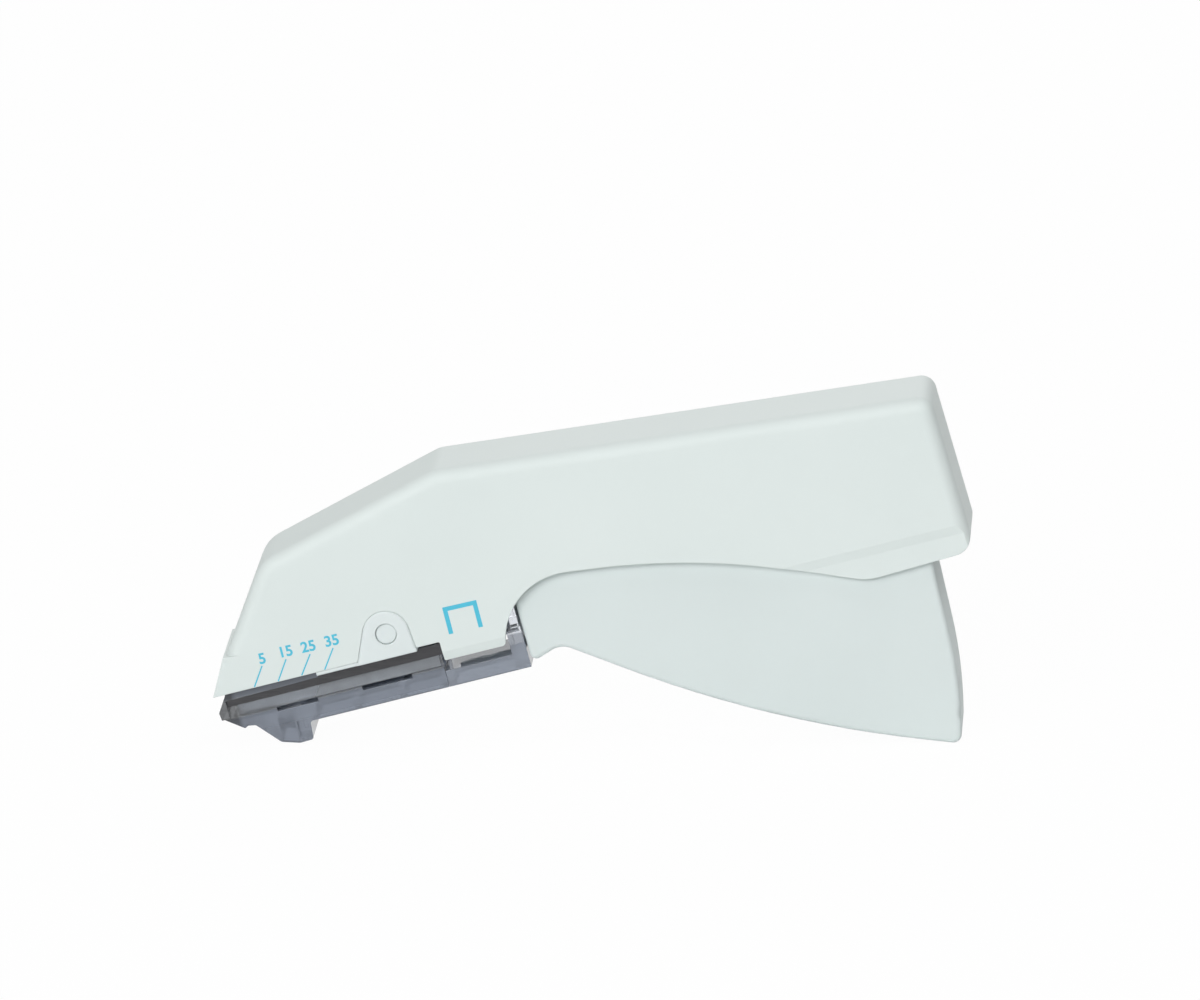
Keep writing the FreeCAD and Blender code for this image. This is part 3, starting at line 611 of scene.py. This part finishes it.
down_stroke = np.array(joints["former_drive"]["axis"])
staple_up = -down_stroke / np.linalg.norm(down_stroke)
staple_back = np.array([staple_up[2], 0.0, -staple_up[0]])
stack_high = np.array(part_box("staples")[1])
wire_reach = staple_wire_mm / 2 * mm * (abs(staple_up[0]) + abs(staple_up[2]))
last_crown = np.array([stack_high[0] - wire_reach, 0.0, stack_high[2] - wire_reach])
first_crown = last_crown - along_track * (staple_count - 1) * staple_pitch_mm * mm


def staple_line():
    """Centre line of one staple in its own plane, as (y, up) in millimetres, from point to point.

    Each half is a straight leg, a quarter circle of the bend's radius, and half of the crown.
    """
    half = (staple_width_mm - staple_wire_mm) / 2
    tip = staple_wire_mm / 2 - staple_leg_mm
    quarter = np.linspace(0, pi / 2, bend_steps)
    bend_y = half - staple_bend_mm + staple_bend_mm * np.cos(quarter)
    bend_up = -staple_bend_mm + staple_bend_mm * np.sin(quarter)
    leg = np.array([[half, tip], [half, tip + point_length_mm]])
    right = np.vstack([leg, np.column_stack([bend_y, bend_up])])
    left = right[::-1] * np.array([-1, 1])
    return np.vstack([right, left])


def staple_stack():
    """Points and faces of all the staples.

    The centre line is swept with a round wire, thin at its points, and copied along the track.
    """
    line = staple_line()
    run = np.gradient(line, axis=0)
    run /= np.linalg.norm(run, axis=1)[:, None]
    across = np.array([0.0, 1.0, 0.0])
    centres = (line[:, :1] * across + line[:, 1:] * staple_up) * mm
    out = run[:, 1:] * across - run[:, :1] * staple_up
    deep = np.repeat(staple_back[None, :], len(line), axis=0)
    radii = np.full(len(line), staple_wire_mm / 2 * mm)
    radii[[0, -1]] *= point_taper
    one = swept_ring(centres, out, deep, radii, staple_sides)
    steps = np.arange(staple_count) * staple_pitch_mm * mm
    stack = first_crown + steps[:, None, None, None] * along_track + one[None]
    pattern = ring_faces(len(line), staple_sides)
    each = len(line) * staple_sides
    faces = [[index + each * number for index in face]
             for number in range(staple_count) for face in pattern]
    return stack, faces


staple_steel = drawn_steel("drawn_stainless_wire", staple_bright, staple_dark, staple_roughness)
staple_wires = new_piece("staple_wires", *staple_stack(), staple_steel, "body", smooth=True)
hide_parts("staples")
staple_wires.parent = None
# The blend runs square to the leaning staples, so each whole staple gets one share of the pusher's way.
# It eases in and out, so it reaches past the stack, and no staple runs ahead into the former. Late in
# the feed, though, many of the staples stand inside the pusher's front wall and run into one another.
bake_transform(staple_wires)

# Feed spring
# A long thin coil of drawn spring steel drives the stack forward as staples are used.
# It stands behind the pusher's front wall, on the rod that keeps it straight.
feed_wire_mm = 0.3
feed_turns = 20
feed_width_mm = 2.3
half_coil = feed_width_mm / 2 * mm
corner_to_axis = half_coil * np.array([along_track[2], 0.0, along_track[0]])
feed_low, feed_high = (np.array([corner[0], 0.0, corner[2]]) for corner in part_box("feed_spring"))
feed_foot = feed_low + corner_to_axis
feed_head = feed_high - corner_to_axis
feed_wire = coil(feed_foot, feed_head, feed_width_mm * mm, feed_wire_mm * mm, feed_turns)
feed_coil = new_piece("feed_spring_coil", *feed_wire, spring_steel, "body", smooth=True)
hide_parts("feed_spring")
feed_coil.parent = None
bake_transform(feed_coil)

# Studio
# The object stands on a plain pale floor between three soft lamps, as such a product is photographed.
# The floor and the world look white to the camera, and light the object no more for it.
floor_reach = 6.0
floor_white = "#F4F5F5"
floor_roughness = 0.9
backdrop_share = 0.97
fill_level = 0.19
# Each lamp has its name, place and size in metres, and power in watts.
lamps = (
    ("front_softbox", (-0.7, -1.9, 0.95), (1.8, 0.9), 33.0),
    ("overhead_softbox", (0.6, -0.3, 1.8), (1.4, 0.7), 9.5),
    ("back_softbox", (0.2, 1.9, 1.1), (1.8, 0.9), 13.0),
)
lamp_aim = (0.0, 0.0, 0.045)


def seen_directly(tree):
    """Is 1 for rays from the camera, from gloss and through clear plastic, and 0 for diffuse light."""
    path = add_node(tree, "ShaderNodeLightPath")
    camera_or_gloss = add_node(tree, "ShaderNodeMath", {0: path.outputs["Is Camera Ray"],
                                                        1: path.outputs["Is Glossy Ray"]},
                               operation="MAXIMUM")
    any_of_them = add_node(tree, "ShaderNodeMath", {0: camera_or_gloss.outputs[0],
                                                    1: path.outputs["Is Transmission Ray"]},
                           operation="MAXIMUM")
    return any_of_them.outputs[0]


scene = bpy.context.scene
world = bpy.data.worlds.new("studio")
world.use_nodes = True
sky = world.node_tree
fill = add_node(sky, "ShaderNodeBackground", {"Color": (1, 1, 1, 1), "Strength": fill_level})
white = add_node(sky, "ShaderNodeBackground", {"Color": (1, 1, 1, 1), "Strength": 1.0})
both = add_node(sky, "ShaderNodeMixShader", {0: seen_directly(sky), 1: fill.outputs[0],
                                             2: white.outputs[0]})
sky.links.new(both.outputs[0], sky.nodes["World Output"].inputs["Surface"])
scene.world = world

floor_mesh = bpy.data.meshes.new("floor")
floor_corners = [(x * floor_reach, y * floor_reach, 0) for x, y in ((-1, -1), (1, -1), (1, 1), (-1, 1))]
floor_mesh.from_pydata(floor_corners, [], [(0, 1, 2, 3)])
floor = bpy.data.objects.new("floor", floor_mesh)
scene.collection.objects.link(floor)
floor_material, tree, shader, _ = new_finish("white_sweep")
shader.inputs["Base Color"].default_value = linear(floor_white)
shader.inputs["Roughness"].default_value = floor_roughness
glow = add_node(tree, "ShaderNodeEmission", {"Color": (1, 1, 1, 1), "Strength": 1.0})
share = add_node(tree, "ShaderNodeMath", {0: seen_directly(tree), 1: backdrop_share}, operation="MULTIPLY")
mix = add_node(tree, "ShaderNodeMixShader", {0: share.outputs[0], 1: shader.outputs[0],
                                             2: glow.outputs[0]})
tree.links.new(mix.outputs[0], tree.nodes["Material Output"].inputs["Surface"])
floor_mesh.materials.append(floor_material)


def soft_lamp(name, place, size, power):
    """Rectangular soft lamp that faces the object."""
    light = bpy.data.lights.new(name, "AREA")
    light.shape = "RECTANGLE"
    light.size, light.size_y = size
    light.energy = power
    lamp = bpy.data.objects.new(name, light)
    lamp.location = place
    lamp.rotation_mode = "QUATERNION"
    lamp.rotation_quaternion = (Vector(place) - Vector(lamp_aim)).to_track_quat("Z", "Y")
    scene.collection.objects.link(lamp)


for lamp_values in lamps:
    soft_lamp(*lamp_values)

# Camera
# A long lens looks at the near side from a little above, as the photograph was taken.
# Its place is given from the pivot, and its angles from square on, level and upright.
view_azimuth = radians(3.5)
view_elevation = radians(14.5)
view_roll = radians(-1.1586)
camera_from_pivot_mm = (198.176, -2425.351, 657.076)
lens_mm = 322.5
sensor_mm = 36.0
clip_near = 0.1
clip_far = 50.0

back = np.array([sin(view_azimuth) * cos(view_elevation), -cos(view_azimuth) * cos(view_elevation),
                 sin(view_elevation)])
right = np.array([cos(view_azimuth), sin(view_azimuth), 0.0])
up = np.cross(back, right)
rolled_right = right * cos(view_roll) + up * sin(view_roll)
rolled_up = up * cos(view_roll) - right * sin(view_roll)
lens = bpy.data.cameras.new("camera")
lens.lens = lens_mm
lens.sensor_width = sensor_mm
lens.clip_start = clip_near
lens.clip_end = clip_far
camera = bpy.data.objects.new("camera", lens)
turn = Matrix((rolled_right, rolled_up, back)).transposed()
place = pivot + np.array(camera_from_pivot_mm) * mm
camera.matrix_world = Matrix.Translation(Vector(place)) @ turn.to_4x4()
scene.collection.objects.link(camera)
scene.camera = camera
scene.view_settings.view_transform = "Standard"
